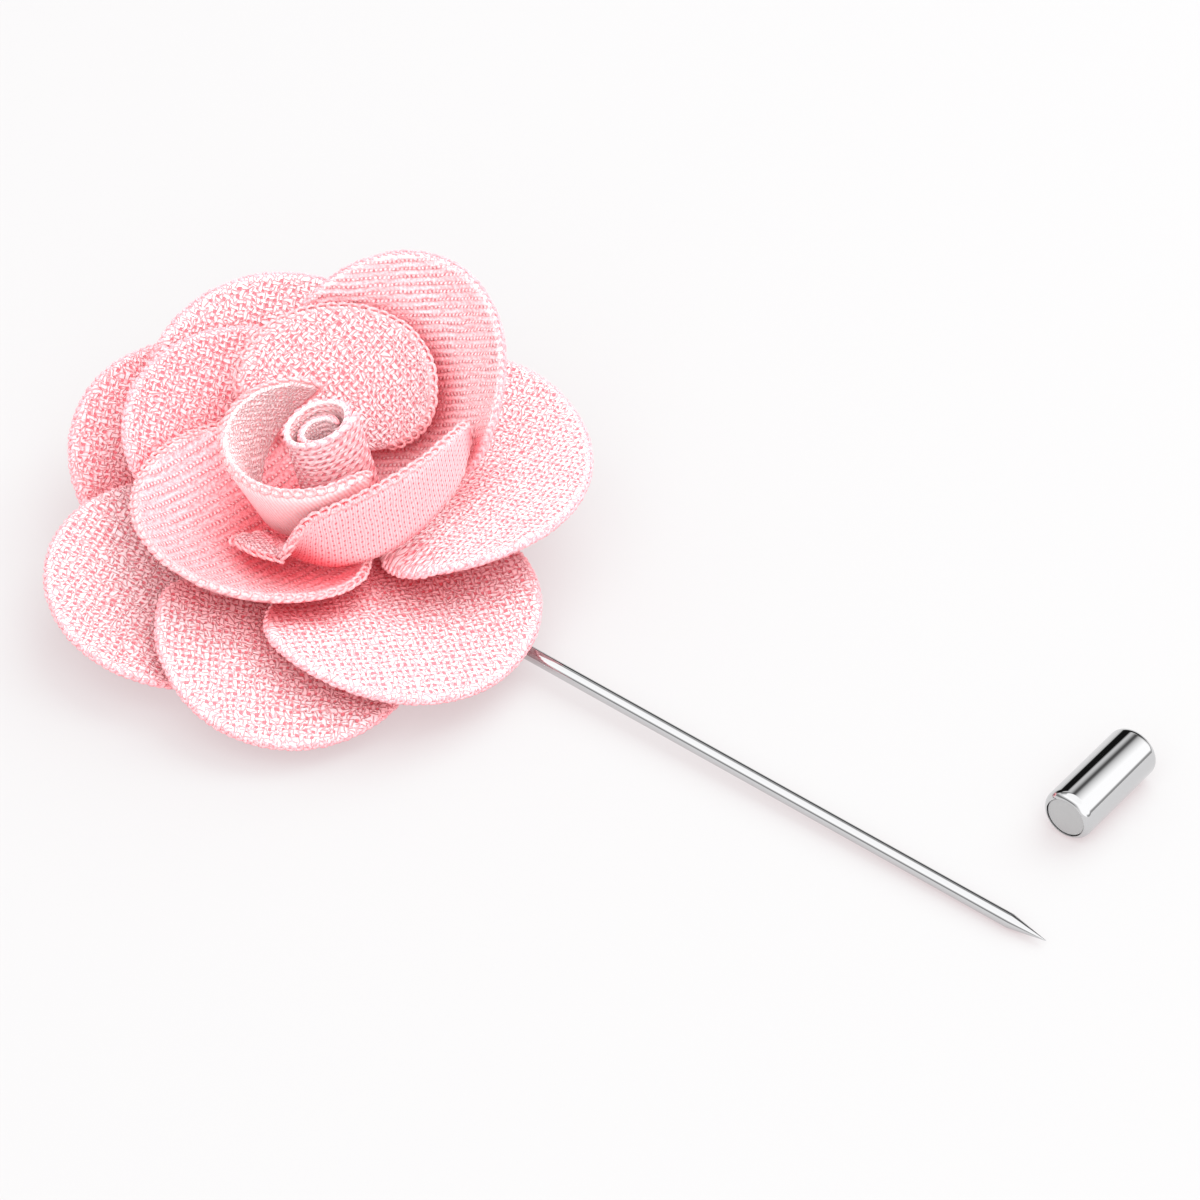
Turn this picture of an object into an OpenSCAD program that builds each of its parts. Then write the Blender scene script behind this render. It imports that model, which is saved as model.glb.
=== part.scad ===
// Flower lapel pin: round cloth petals over a long needle on a soldered pad, with its
// cap lying beside the point. Millimetres, +Z up. The origin is the centre of the pad's
// underside, on the surface that the pin lies on, and +X runs along the needle.

/* [Cloth] */
// Thickness of the ribbed cloth with its turned edge
cloth_t = 1.0; // [0.7:0.05:1.3]
// Air between one layer of cloth and the next
layer_gap = 0.25; // [0.15:0.05:0.5]

/* [Flower] */
// Width across the circle that the outer petals sit on
flower_d = 44; // [40:1:50]
// Width of an outer petal's round of cloth
outer_petal_d = 24; // [20:0.5:25]
// Width of a middle petal's round of cloth
middle_petal_d = 24; // [20:0.5:25]
// Width of an inner petal's round of cloth
inner_petal_d = 24; // [20:0.5:25]
// Turn of the flower about the upright, from the needle's line
flower_turn = 38.5; // [0:0.5:90]
// Distance of the flower's middle from the needle's line
flower_side = 3.4; // [0:0.1:4]

/* [Bud] */
// Width across the rolled bud
bud_d = 7.3; // [6:0.1:7.5]
// Height of the strip that the bud is rolled from
bud_h = 9.4; // [7:0.1:11]
// Thickness of the strip that the bud is rolled from
bud_t = 0.8; // [0.6:0.05:0.9]
// Lean of the bud from the upright, in degrees
bud_lean = 12; // [4:1:16]
// Slant of the bud's top edge over its own line, in degrees
bud_slant = 9; // [0:1:14]

/* [Needle and pad] */
// Diameter of the needle
needle_d = 1.2; // [1.0:0.05:1.6]
// Reach of the needle's point from the middle of the pad
needle_reach = 68.6; // [50:0.2:90]
// Length of the ground point
point_l = 3.2; // [2:0.1:6]
// Length of needle that runs back past the middle of the pad
needle_tail = 3; // [2:0.1:5]
// Height of the gap between the pad and the needle at the middle of the pad
needle_lift = 0.4; // [0.3:0.05:0.6]
// Diameter of the metal pad
pad_d = 14; // [10:0.5:18]
// Thickness of the metal pad
pad_t = 1.0; // [0.6:0.1:1.5]
// Width of the bead of solder that joins the needle to the pad
solder_w = 2; // [1.7:0.1:2.4]
// Length of the bead of solder past the pad's edge, along the needle
solder_over = 0.3; // [0.1:0.1:1]

/* [Cap] */
// Outer diameter of the cap
cap_d = 4.3; // [3.5:0.1:6]
// Length of the cap
cap_l = 9.8; // [7:0.1:14]
// Radius of the cap's rounded ends
cap_round = 0.7; // [0.3:0.05:0.9]
// Diameter of the end disc
disc_d = 3.3; // [2.5:0.05:3.5]
// Thickness of the end disc
disc_t = 0.6; // [0.4:0.05:1]
// How far the disc's face lies inside the rim
disc_inset = 0.15; // [0.05:0.05:0.3]
// Air around and behind the disc
disc_gap = 0.05; // [0.03:0.01:0.1]
// Air around the needle in the cap's bore
bore_gap = 0.1; // [0.05:0.05:0.3]
// Depth of the bore for the needle
bore_l = 7; // [4:0.1:8]
// Place of the cap along the needle's line
cap_x = 62.9; // [40:0.1:80]
// Place of the cap out from the needle's line
cap_y = 15.2; // [8:0.1:30]
// Turn of the cap from the needle's line
cap_turn = 91; // [0:1:180]

/* [Hidden] */

cloth = "#f6c3cb";
chrome = "#c9ccd0";
end_grey = "#b4b6b9";
smooth = 64;

// One layer of cloth in a stack, with its air
layer = cloth_t + layer_gap;

// Columns of the petal tables. OUT and SIDE are shares of flower_d. REACH, HEEL and HALF are
// shares of the width of the petal's round. The angles are degrees.
AIM = 0;    // way that the petal points, seen from above
OUT = 1;    // middle of the petal, out along that way
SIDE = 2;   // middle of the petal, across that way
LEVEL = 3;  // height of the petal's middle over the pad, in layers of cloth
REACH = 4;  // length from the middle to the rim
HEEL = 5;   // length from the middle to the sewn heel
HALF = 6;   // half the width
RISE = 7;   // slope at the middle, level is 0 and upright 90
CURL = 8;   // change of slope from the middle to the rim
CUP = 9;    // change of slope from the middle line to one side
ROLL = 10;  // tilt about the way that the petal points
FLAP = 11;  // fold outwards of the tip on one side
LIP = 12;   // curl of the edge towards the face, a share of cloth_t
TAPER = 13; // share of its length that the petal loses towards its sides
WAY = 14;   // way that the petal's tip is drawn out, 0 towards the rim
TIP = 15;   // share that it is drawn out there

outer_table = [
    // AIM   OUT    SIDE  LEVEL  REACH   HEEL   HALF  RISE CURL CUP ROLL FLAP  LIP TAPER WAY TIP
    [ -48, 0.220, 0.000, 3.20, 0.445, 0.300, 0.490,  -4, -10,   8,  -6,   0, 0.0, 0.0,  240, 0.02],
    [-100, 0.234, 0.000, 2.55, 0.445, 0.250, 0.440,  -5, -10,   8,  -9,   0, 0.0, 0.0,    0, 0.00],
    [-160, 0.264, 0.000, 2.20, 0.440, 0.270, 0.450,   7,   4,   8, -10,   0, 0.0, 0.0,    0, 0.00],
    [ 134, 0.314, 0.000, 2.85, 0.470, 0.330, 0.450,  24,  10,  10,  -8,   0, 0.0, 0.0,    0, 0.00],
    [ 104, 0.306, 0.000, 5.75, 0.460, 0.140, 0.480,  38,  14,  14,   0,   0, 0.0, 0.0,    0, 0.00]];
middle_table = [
    [   8, 0.264, 0.095, 4.80, 0.458, 0.250, 0.595,  12,   0,  16,  -4,   0, 0.0, 0.0,  212, 0.34],
    [  55, 0.266, 0.000, 9.15, 0.483, 0.245, 0.460,  50,  16,  36,   0,   0, 0.0, 0.0,    0, 0.00],
    [ 127, 0.230, 0.000, 6.04, 0.410, 0.220, 0.445,  28,  14,  22,   0,   0, 0.0, 0.0,    0, 0.00],
    [-160, 0.105, 0.000, 5.10, 0.455, 0.320, 0.425,  10,  18,  24,  -6,   0, 0.6, 0.0,  128, 0.13]];
inner_table = [
    [  78, 0.222, 0.000, 9.35, 0.290, 0.190, 0.380,  48,  10,  50,   0,   0, 0.0, 0.0,    0, 0.00],
    [-155, 0.126,-0.010, 9.25, 0.180, 0.167, 0.510,  66,   0, 120,  -9,   0, 0.0, 0.4,    0, 0.00],
    [ -67, 0.172, 0.050, 9.20, 0.135, 0.135, 0.500,  92,   0,  56,  15,  85, 0.0, 0.3,    0, 0.00]];

// Rings and spokes of the mesh over a petal's round
rings = [0.3, 0.55, 0.75, 0.9, 1];
spokes = 36;
// Share of the round where the lip starts, and of the half width where the flap starts
lip_from = 0.6;
flap_from = 0.3;
flap_full = 0.7;
// How sharp a drawn-out tip is
tip_power = 8;

// Roll of the bud: the strip starts at the core and ends outside, on the side bud_end
bud_core = 1.2;
bud_end = -15;
bud_air = 0.3;
bud_pitch = bud_t + bud_air;
bud_turns = ((bud_d - bud_t) / 2 - bud_core) / bud_pitch;
bud_step = 15;
bud_sink = 1.4;
bud_lean_aim = 180;
bud_x = 2.4;
bud_y = 0.15;
bud_level = 6.4;

// Height of the needle's axis over the middle of the pad, and its fall to the point
needle_z = pad_t + needle_lift + needle_d / 2;
shoulder_x = needle_reach - point_l;
needle_fall = atan((needle_z - needle_d / 2) / shoulder_x);
pad_round = 0.3;
solder_foot = 0.7 * solder_w;
point_flat = 0.05;

// Length of a chord of an arc, as a share of the arc, for half the arc's angle
function chord(half) = abs(half) < 0.001 ? 1 : sin(half) * 180 / (PI * half);
function spin(v, a) = [v[0] * cos(a) - v[1] * sin(a), v[0] * sin(a) + v[1] * cos(a), v[2]];
function unit(v) = v / norm(v);

// Share that a petal's round is drawn out at the place x, y
function drawn(p, x, y) = 1 + p[TIP] * pow(max(0, x * cos(p[WAY]) + y * sin(p[WAY])), tip_power);

// Point of the middle surface of a petal, for x towards the rim and y across, both -1 to 1
function petal_point(p, d, x_round, y_round) =
    let (x = x_round * drawn(p, x_round, y_round),
         y = y_round * drawn(p, x_round, y_round),
         u = x * d * (x >= 0 ? p[REACH] : p[HEEL]) * (1 - p[TAPER] * y * y),
         half = p[CURL] * u / (d * p[REACH]) / 2,
         flap = p[FLAP] * pow(min(1, max(0, (-y - flap_from) / (flap_full - flap_from))), 2),
         along = u * chord(half),
         slope = p[RISE] + half - flap,
         heading = p[RISE] + 2 * half,
         side_half = p[CUP] * y / 2,
         across = y * d * p[HALF] * chord(side_half),
         lip = cloth_t * p[LIP] * pow(max(0, (norm([x, y]) - lip_from) / (1 - lip_from)), 2),
         lift = across * sin(side_half) + lip,
         r = along * cos(slope) - lift * sin(heading),
         h = along * sin(slope) + lift * cos(heading),
         t = across * cos(side_half),
         rolled = [flower_d * p[OUT] + r,
                   flower_d * p[SIDE] + t * cos(p[ROLL]) - h * sin(p[ROLL]),
                   pad_t + layer * p[LEVEL] + t * sin(p[ROLL]) + h * cos(p[ROLL])])
    spin(rolled, p[AIM]);

nudge = 0.001;
function petal_normal(p, d, x, y) =
    unit(cross(petal_point(p, d, x + nudge, y) - petal_point(p, d, x - nudge, y),
               petal_point(p, d, x, y + nudge) - petal_point(p, d, x, y - nudge)));

// A petal: two faces of cloth and the cut edge between them
module petal(p, d) {
    spots = concat([[0, 0]], [for (q = rings, k = [0:spokes - 1])
        [q * cos(360 * k / spokes), q * sin(360 * k / spokes)]]);
    n = len(spots);
    mid = [for (s = spots) petal_point(p, d, s[0], s[1])];
    out = [for (s = spots) petal_normal(p, d, s[0], s[1]) * cloth_t / 2];
    points = concat(mid + out, mid - out);
    last = len(rings) - 1;
    function at(j, k) = 1 + j * spokes + k % spokes;
    face = concat(
        [for (k = [0:spokes - 1]) [0, at(0, k + 1), at(0, k)]],
        [for (j = [0:last - 1], k = [0:spokes - 1]) each [
            [at(j, k), at(j, k + 1), at(j + 1, k + 1)],
            [at(j, k), at(j + 1, k + 1), at(j + 1, k)]]]);
    edge = [for (k = [0:spokes - 1]) each [
        [at(last, k), at(last, k + 1), n + at(last, k + 1)],
        [at(last, k), n + at(last, k + 1), n + at(last, k)]]];
    polyhedron(points, concat(face, [for (f = face) [n + f[2], n + f[1], n + f[0]]], edge));
}

// Seats the flower over the pad, turned from the needle's line
module on_pad() {
    translate([0, -flower_side, 0]) rotate([0, 0, flower_turn]) children();
}

module outer_petal(i) { color(cloth) on_pad() petal(outer_table[i], outer_petal_d); }
module middle_petal(i) { color(cloth) on_pad() petal(middle_table[i], middle_petal_d); }
module inner_petal(i) { color(cloth) on_pad() petal(inner_table[i], inner_petal_d); }

// The rolled strip, one closed wall whose top edge sinks towards the core
module bud() {
    steps = ceil(bud_turns * 360 / bud_step);
    foot = pad_t + layer * bud_level;
    function ring(i) =
        let (f = i / steps, r = bud_core + f * bud_turns * bud_pitch,
             a = bud_end - (1 - f) * bud_turns * 360,
             top = bud_h - bud_sink * (1 - f) - r * tan(bud_slant) * cos(a - bud_lean_aim))
        [for (c = [[-1, 0], [1, 0], [1, top], [-1, top]])
            spin([r + c[0] * bud_t / 2, 0, c[1]], a)];
    points = [for (i = [0:steps]) each ring(i)];
    walls = [for (i = [0:steps - 1], c = [0:3]) each [
        [4 * i + c, 4 * i + (c + 1) % 4, 4 * i + 4 + (c + 1) % 4],
        [4 * i + c, 4 * i + 4 + (c + 1) % 4, 4 * i + 4 + c]]];
    ends = [[3, 2, 1], [3, 1, 0],
            [4 * steps, 4 * steps + 1, 4 * steps + 2], [4 * steps, 4 * steps + 2, 4 * steps + 3]];
    color(cloth) on_pad() translate([bud_x, bud_y, foot])
        rotate([0, 0, bud_lean_aim]) rotate([0, bud_lean, 0]) rotate([0, 0, -bud_lean_aim])
            polyhedron(points, concat(walls, ends));
}

// Pad, solder and needle, one piece of metal
module pin() {
    color(chrome) {
        rotate_extrude($fn = smooth)
            polygon([[0, 0], [pad_d / 2 - pad_round, 0], [pad_d / 2, pad_round],
                     [pad_d / 2, pad_t - pad_round], [pad_d / 2 - pad_round, pad_t], [0, pad_t]]);
        translate([-needle_tail, -solder_foot / 2, pad_t / 2])
            cube([needle_tail + pad_d / 2 - pad_round, solder_foot, pad_t / 2 + needle_lift]);
        translate([0, 0, needle_z]) rotate([0, 90 + needle_fall, 0])
            translate([0, 0, -needle_tail]) {
                cylinder(d = solder_w, h = needle_tail + pad_d / 2 + solder_over, $fn = smooth);
                cylinder(d = needle_d, h = needle_tail + shoulder_x, $fn = smooth);
                translate([0, 0, needle_tail + shoulder_x])
                    cylinder(d1 = needle_d, d2 = point_flat, h = point_l, $fn = smooth);
            }
    }
}

// The cap's own line: from the disc's end at 0 to the open end at cap_l
module cap_line() {
    translate([cap_x, cap_y, cap_d / 2]) rotate([0, 0, cap_turn])
        rotate([0, 90, 0]) translate([0, 0, -cap_l / 2]) children();
}

seat_d = disc_d + 2 * disc_gap;
seat_l = disc_inset + disc_t + disc_gap;
cut_over = 1;

module cap() {
    r = cap_d / 2;
    round_steps = 6;
    color(chrome) cap_line() difference() {
        rotate_extrude($fn = smooth) polygon(concat(
            [[0, 0]],
            [for (k = [0:round_steps]) let (a = 90 * k / round_steps)
                [r - cap_round + cap_round * sin(a), cap_round * (1 - cos(a))]],
            [for (k = [0:round_steps]) let (a = 90 * k / round_steps)
                [r - cap_round + cap_round * cos(a), cap_l - cap_round * (1 - sin(a))]],
            [[0, cap_l]]));
        translate([0, 0, -cut_over]) cylinder(d = seat_d, h = cut_over + seat_l, $fn = smooth);
        translate([0, 0, cap_l - bore_l])
            cylinder(d = needle_d + 2 * bore_gap, h = bore_l + cut_over, $fn = smooth);
    }
}

module cap_disc() {
    color(end_grey) cap_line() translate([0, 0, disc_inset])
        cylinder(d = disc_d, h = disc_t, $fn = smooth);
}

pin();
cap();
cap_disc();
bud();
outer_petal(0);  // outer_petal_1
outer_petal(1);  // outer_petal_2
outer_petal(2);  // outer_petal_3
outer_petal(3);  // outer_petal_4
outer_petal(4);  // outer_petal_5
middle_petal(0);  // middle_petal_1
middle_petal(1);  // middle_petal_2
middle_petal(2);  // middle_petal_3
middle_petal(3);  // middle_petal_4
inner_petal(0);  // inner_petal_1
inner_petal(1);  // inner_petal_2
inner_petal(2);  // inner_petal_3
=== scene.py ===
import math

import bpy
import numpy as np
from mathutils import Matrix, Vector
from mathutils.bvhtree import BVHTree


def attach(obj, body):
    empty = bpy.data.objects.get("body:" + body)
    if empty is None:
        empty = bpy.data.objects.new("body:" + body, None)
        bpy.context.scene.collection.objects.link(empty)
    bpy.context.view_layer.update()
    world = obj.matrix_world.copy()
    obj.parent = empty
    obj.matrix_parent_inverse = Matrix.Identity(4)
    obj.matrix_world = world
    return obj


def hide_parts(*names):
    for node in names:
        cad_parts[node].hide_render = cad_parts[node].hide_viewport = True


# flower lapel pin, metres, +X along the needle, the pin lies on the floor at z = 0
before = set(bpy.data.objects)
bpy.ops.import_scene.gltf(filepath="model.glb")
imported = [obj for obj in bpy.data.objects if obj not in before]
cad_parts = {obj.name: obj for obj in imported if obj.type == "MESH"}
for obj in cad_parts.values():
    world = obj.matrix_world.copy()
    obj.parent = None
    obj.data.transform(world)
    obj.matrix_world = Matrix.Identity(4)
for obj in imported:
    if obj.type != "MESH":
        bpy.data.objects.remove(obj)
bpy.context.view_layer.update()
mm = 0.001


def hexToLinear(text):
    # sRGB hex to the linear colour that the sockets take
    parts = [int(text[i:i + 2], 16) / 255 for i in (1, 3, 5)]
    return [c / 12.92 if c < 0.04045 else ((c + 0.055) / 1.055) ** 2.4 for c in parts] + [1]


def addNode(tree, kind, values={}, links={}, **settings):
    node = tree.nodes.new("ShaderNode" + kind)
    for key, value in settings.items():
        setattr(node, key, value)
    for key, value in values.items():
        node.inputs[key].default_value = value
    for key, socket in links.items():
        tree.links.new(socket, node.inputs[key])
    return node


def newMaterial(name):
    material = bpy.data.materials.new(name)
    material.use_nodes = True
    tree = material.node_tree
    return material, tree, tree.nodes["Principled BSDF"]


def setRamp(node, stops):
    # stops are (place, grey or hex) pairs
    ramp = node.color_ramp
    while len(ramp.elements) < len(stops):
        ramp.elements.new(1)
    for element, (place, value) in zip(ramp.elements, stops):
        element.position = place
        element.color = hexToLinear(value) if isinstance(value, str) else (value, value, value, 1)
    return node


# camera: at the photo's angle, 450 mm away
camera = {"lookAt": (18.2, 9.8, 0), "heading": 128.5, "elevation": 41.5, "distance": 450,
          "lens": 168.75}


def addCamera():
    data = bpy.data.cameras.new("camera")
    data.lens = camera["lens"]
    data.sensor_width = 36
    data.clip_start, data.clip_end = 0.01, 20
    heading, drop = math.radians(camera["heading"]), math.radians(camera["elevation"])
    look = Vector((math.cos(heading) * math.cos(drop), math.sin(heading) * math.cos(drop),
                   -math.sin(drop)))
    obj = bpy.data.objects.new("camera", data)
    obj.location = (Vector(camera["lookAt"]) - look * camera["distance"]) * mm
    obj.rotation_euler = look.to_track_quat("-Z", "Y").to_euler()
    bpy.context.scene.collection.objects.link(obj)
    bpy.context.scene.camera = obj


# floor and lights: a pale table top under big soft lamps
studio = {"floorWidth": 3000, "floorDrop": 0.02, "floorColour": "#788685", "floorPaintedPinkGlow": "#c8b5b7",
          "skyLight": 1.0, "key": {"place": (60, 400, 520), "size": 700, "power": 4.6},
          "fill": {"place": (260, -330, 560), "size": 800, "power": 4.3}}


def addFloor():
    bpy.ops.object.select_all(action="DESELECT")
    # just under the pad, so that the two faces don't coincide
    bpy.ops.mesh.primitive_plane_add(size=studio["floorWidth"] * mm,
                                     location=(0, 0, -studio["floorDrop"] * mm))
    floor = bpy.context.object
    floor.name = "floor"
    # White acrylic, glowing faintly as if lit from below: matt, with pale shadows. The glow keeps the
    # floor evenly bright, and being pinkish over a greenish grey base it paints pink light into the
    # floor's shadows.
    material, tree, shader = newMaterial("paintedGlowTableTop")
    shader.inputs["Base Color"].default_value = hexToLinear(studio["floorColour"])
    shader.inputs["Emission Color"].default_value = hexToLinear(studio["floorPaintedPinkGlow"])
    shader.inputs["Emission Strength"].default_value = 1.0
    shader.inputs["Roughness"].default_value = 0.9
    shader.inputs["Specular IOR Level"].default_value = 0.1
    floor.data.materials.append(material)


def addLamp(name, lamp, aim):
    data = bpy.data.lights.new(name, "AREA")
    data.size = lamp["size"] * mm
    data.energy = lamp["power"]
    obj = bpy.data.objects.new(name, data)
    obj.visible_glossy = False  # the metal mirrors the room's own lamp instead
    obj.location = Vector(lamp["place"]) * mm
    obj.rotation_euler = (Vector(aim) * mm - obj.location).to_track_quat("-Z", "Y").to_euler()
    bpy.context.scene.collection.objects.link(obj)


# the room that polished metal mirrors, in greys: a broad lamp that fades out over its dark frame, and
# what hangs in front of it, each between some heights and towards its own turn round the room
room = {"lampTurn": 138,
        "lampFade": [(0.12, 1.58), (0.24, 1.3), (0.33, 1.05), (0.41, 0.78), (0.46, 0.56), (0.5, 0.24),
                     (0.55, 0.1), (0.59, 0.13), (0.63, 0.32), (0.68, 0.65), (0.74, 0.85)],
        "ceiling": {"grey": 1.5, "heights": [(0.81, 0.0), (0.85, 1.0)]},
        "wall": {"grey": 0.95, "heights": [(0.5, 1.0), (0.62, 0.0)],
                 "turn": 235, "side": [(0.45, 0.0), (0.6, 1.0)]},
        "shelf": {"grey": 0.3, "heights": [(0.1, 0.0), (0.18, 1.0), (0.34, 1.0), (0.46, 0.0)],
                  "turn": 235, "side": [(0.6, 0.0), (0.8, 1.0)]},
        "card": {"grey": 0.01, "heights": [(0.1, 0.0), (0.2, 1.0), (0.54, 1.0), (0.61, 0.0)],
                 "turn": 138, "side": [(0.6, 0.0), (0.68, 1.0)]},
        "tableEdge": {"grey": 0.42, "heights": [(0.0, 1.0), (0.1, 1.0), (0.19, 0.0)],
                      "turn": 45, "side": [(0.3, 0.0), (0.5, 1.0)]}}


def skyRamp(tree, value, stops):
    return setRamp(addNode(tree, "ValToRGB", links={0: value}), stops).outputs["Color"]


def towards(tree, way, turn):
    # how far a direction leans to one side of the room, seen from above
    turn = math.radians(turn)
    side = addNode(tree, "VectorMath", {1: (math.cos(turn), math.sin(turn), 0)}, {0: way},
                   operation="DOT_PRODUCT")
    return side.outputs["Value"]


def hung(tree, way, height, behind, item):
    # something of an even grey in front of what is behind it
    share = skyRamp(tree, height, item["heights"])
    if "side" in item:
        side = skyRamp(tree, towards(tree, way, item["turn"]), item["side"])
        share = addNode(tree, "Math", links={0: share, 1: side}, operation="MULTIPLY").outputs[0]
    grey = item["grey"]
    return addNode(tree, "Mix", {7: (grey, grey, grey, 1)}, {0: share, 6: behind},
                   data_type="RGBA").outputs[2]


def addSky(tree):
    # even white light on everything, and the room in mirrored rays alone
    sky = tree.nodes["Background"]
    sky.inputs["Strength"].default_value = 1.0
    way = addNode(tree, "TexCoord").outputs["Generated"]
    height = addNode(tree, "SeparateXYZ", links={0: way}).outputs["Z"]
    mirrored = skyRamp(tree, towards(tree, way, room["lampTurn"]), room["lampFade"])
    for name in ("ceiling", "wall", "shelf", "card", "tableEdge"):
        mirrored = hung(tree, way, height, mirrored, room[name])
    ray = addNode(tree, "LightPath")
    light = studio["skyLight"]
    seen = addNode(tree, "Mix", {6: (light, light, light, 1)},
                   {0: ray.outputs["Is Glossy Ray"], 7: mirrored}, data_type="RGBA")
    tree.links.new(seen.outputs[2], sky.inputs["Color"])


def addStudio():
    scene = bpy.context.scene
    scene.view_settings.view_transform = "Standard"
    world = bpy.data.worlds.new("studio")
    scene.world = world
    world.use_nodes = True
    addSky(world.node_tree)
    for name in ("key", "fill"):
        addLamp(name, studio[name], (0, 0, 0))


addCamera()
addFloor()
addStudio()
print("camera, floor and lights are in place")

# cloth: pale pink knitted ribbon with a crocheted edge, sizes in millimetres. Round is the width that
# the petals' reach, heel and half are shares of, and along and fine are the steps of a petal's net,
# which is coarser on the back.
cloth = {"thick": 0.86, "layer": 1.25, "padTop": 1.0, "flowerWidth": 44, "flowerTurn": 38.5,
         "flowerSide": 3.4, "round": 24, "fine": 0.12, "along": 0.2, "backCoarser": 3, "hemBand": 0.6,
         "hemThinner": 0.88, "tipSoftness": 8, "flapFrom": 0.3, "flapRun": 0.4, "lipFrom": 0.6,
         "leastSheetSide": 10.1}


def chord(half):
    # how much shorter a bent strip reads than a flat one
    return np.sinc(half / np.pi)


def drawnOut(p, x, y):
    # some petals run out to a soft tip on one side
    way = math.radians(p.get("tipWay", 0))
    ahead = np.clip(x * math.cos(way) + y * math.sin(way), 0, None)
    return 1 + p.get("tip", 0) * ahead ** cloth["tipSoftness"]


def petalSurface(p, x, y):
    # the middle of the cloth, for x towards the rim and y across, both -1 to 1
    size = cloth["round"]
    drawn = drawnOut(p, x, y)
    x, y = x * drawn, y * drawn
    u = x * size * np.where(x >= 0, p["reach"], p["heel"]) * (1 - p.get("taper", 0) * y * y)
    half = np.radians(p["curl"]) * u / (size * p["reach"]) / 2
    turned = np.clip((-y - cloth["flapFrom"]) / cloth["flapRun"], 0, 1)
    flap = np.radians(p.get("flap", 0)) * turned ** 2
    along = u * chord(half)
    slope = np.radians(p["rise"]) + half - flap
    heading = np.radians(p["rise"]) + 2 * half
    sideHalf = np.radians(p["cup"]) * y / 2
    across = y * size * p["half"] * chord(sideHalf)
    outwards = np.clip((np.hypot(x, y) - cloth["lipFrom"]) / (1 - cloth["lipFrom"]), 0, None)
    lip = p.get("lip", 0) * outwards ** 2
    lift = across * np.sin(sideHalf) + lip
    r = along * np.cos(slope) - lift * np.sin(heading)
    h = along * np.sin(slope) + lift * np.cos(heading)
    t = across * np.cos(sideHalf)
    roll = math.radians(p["roll"])
    out = cloth["flowerWidth"] * p["out"] + r
    side = cloth["flowerWidth"] * p.get("side", 0) + t * math.cos(roll) - h * math.sin(roll)
    up = cloth["padTop"] + cloth["layer"] * p["level"] + t * math.sin(roll) + h * math.cos(roll)
    turn = math.radians(p["aim"] + cloth["flowerTurn"])
    return np.stack([out * math.cos(turn) - side * math.sin(turn),
                     out * math.sin(turn) + side * math.cos(turn) - cloth["flowerSide"], up], -1)


def unit(v):
    return v / np.maximum(np.linalg.norm(v, axis=-1, keepdims=True), 1e-9)


def surfaceFrame(surface, p, x, y, step=0.002):
    # a point of a surface, its normal and its two ways
    dx = surface(p, x + step, y) - surface(p, x - step, y)
    dy = surface(p, x, y + step) - surface(p, x, y - step)
    return surface(p, x, y), unit(np.cross(dx, dy)), unit(dx), unit(dy)


def flatPlace(p, x, y):
    # place on the uncut cloth, turned so that the first way runs along the ribs
    size = cloth["round"]
    u = x * size * np.where(x >= 0, p["reach"], p["heel"])
    v = y * size * p["half"]
    turn = math.radians(p["ribTurn"])
    return u * math.cos(turn) + v * math.sin(turn), v * math.cos(turn) - u * math.sin(turn)


# the ribs pressed into the cloth: each slow wander's millimetres, its speed along and across the ribs
# and its start, how square the ribs are, and how much the stitches dent them
pressed = {"wanders": [(0.1, 0.9, 0.35, 0), (0.07, 2.1, -0.8, 1)], "square": 0.7, "dent": 0.15}


def ribRelief(p, a, b):
    # 1 on top of a rib, 0 in the groove
    wander = sum(far * np.sin(a * alongRib + b * acrossRib + start)
                 for far, alongRib, acrossRib, start in pressed["wanders"])
    wave = 0.5 + 0.5 * np.cos(2 * np.pi * (b + wander) / p["ribPitch"])
    stitch = 0.5 + 0.5 * np.cos(2 * np.pi * (a / p["stitchPitch"] + np.round(b / p["ribPitch"]) / 2))
    return wave ** pressed["square"] * (1 - pressed["dent"] * (1 - stitch))


def meshFromArrays(name, points, quads, triangles=None):
    # points in millimetres
    faces = [list(map(int, f)) for f in quads]
    if triangles is not None:
        faces += [list(map(int, f)) for f in triangles]
    mesh = bpy.data.meshes.new(name)
    mesh.from_pydata((points * mm).tolist(), [], faces)
    mesh.validate()
    mesh.shade_smooth()
    obj = bpy.data.objects.new(name, mesh)
    bpy.context.scene.collection.objects.link(obj)
    return obj


def setMap(obj, flat):
    # the cloth's own map, in millimetres along and across the ribs
    layer = obj.data.uv_layers.new(name="ribs")
    corners = np.zeros(len(obj.data.loops), np.int32)
    obj.data.loops.foreach_get("vertex_index", corners)
    layer.data.foreach_set("uv", flat[corners].astype(np.float32).ravel())


def squareToDisc(p, countA, countB):
    # a square net laid over the round, its lines along and across the ribs
    s, t = np.meshgrid(np.linspace(-1, 1, countA + 1), np.linspace(-1, 1, countB + 1), indexing="ij")
    across = s * np.sqrt(1 - t * t / 2)
    up = t * np.sqrt(1 - s * s / 2)
    turn = math.radians(p["ribTurn"])
    halfLong = 0.5 * (p["reach"] + p["heel"])
    turn = math.atan2(math.sin(turn) / p["half"], math.cos(turn) / halfLong)
    return across * math.cos(turn) - up * math.sin(turn), across * math.sin(turn) + up * math.cos(turn)


def netFaces(index):
    return np.stack([index[:-1, :-1], index[1:, :-1], index[1:, 1:], index[:-1, 1:]], -1).reshape(-1, 4)


def rimOf(index):
    # the border of a net, counterclockwise
    return np.concatenate([index[:-1, 0], index[-1, :-1], index[:0:-1, -1], index[0, :0:-1]])


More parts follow.
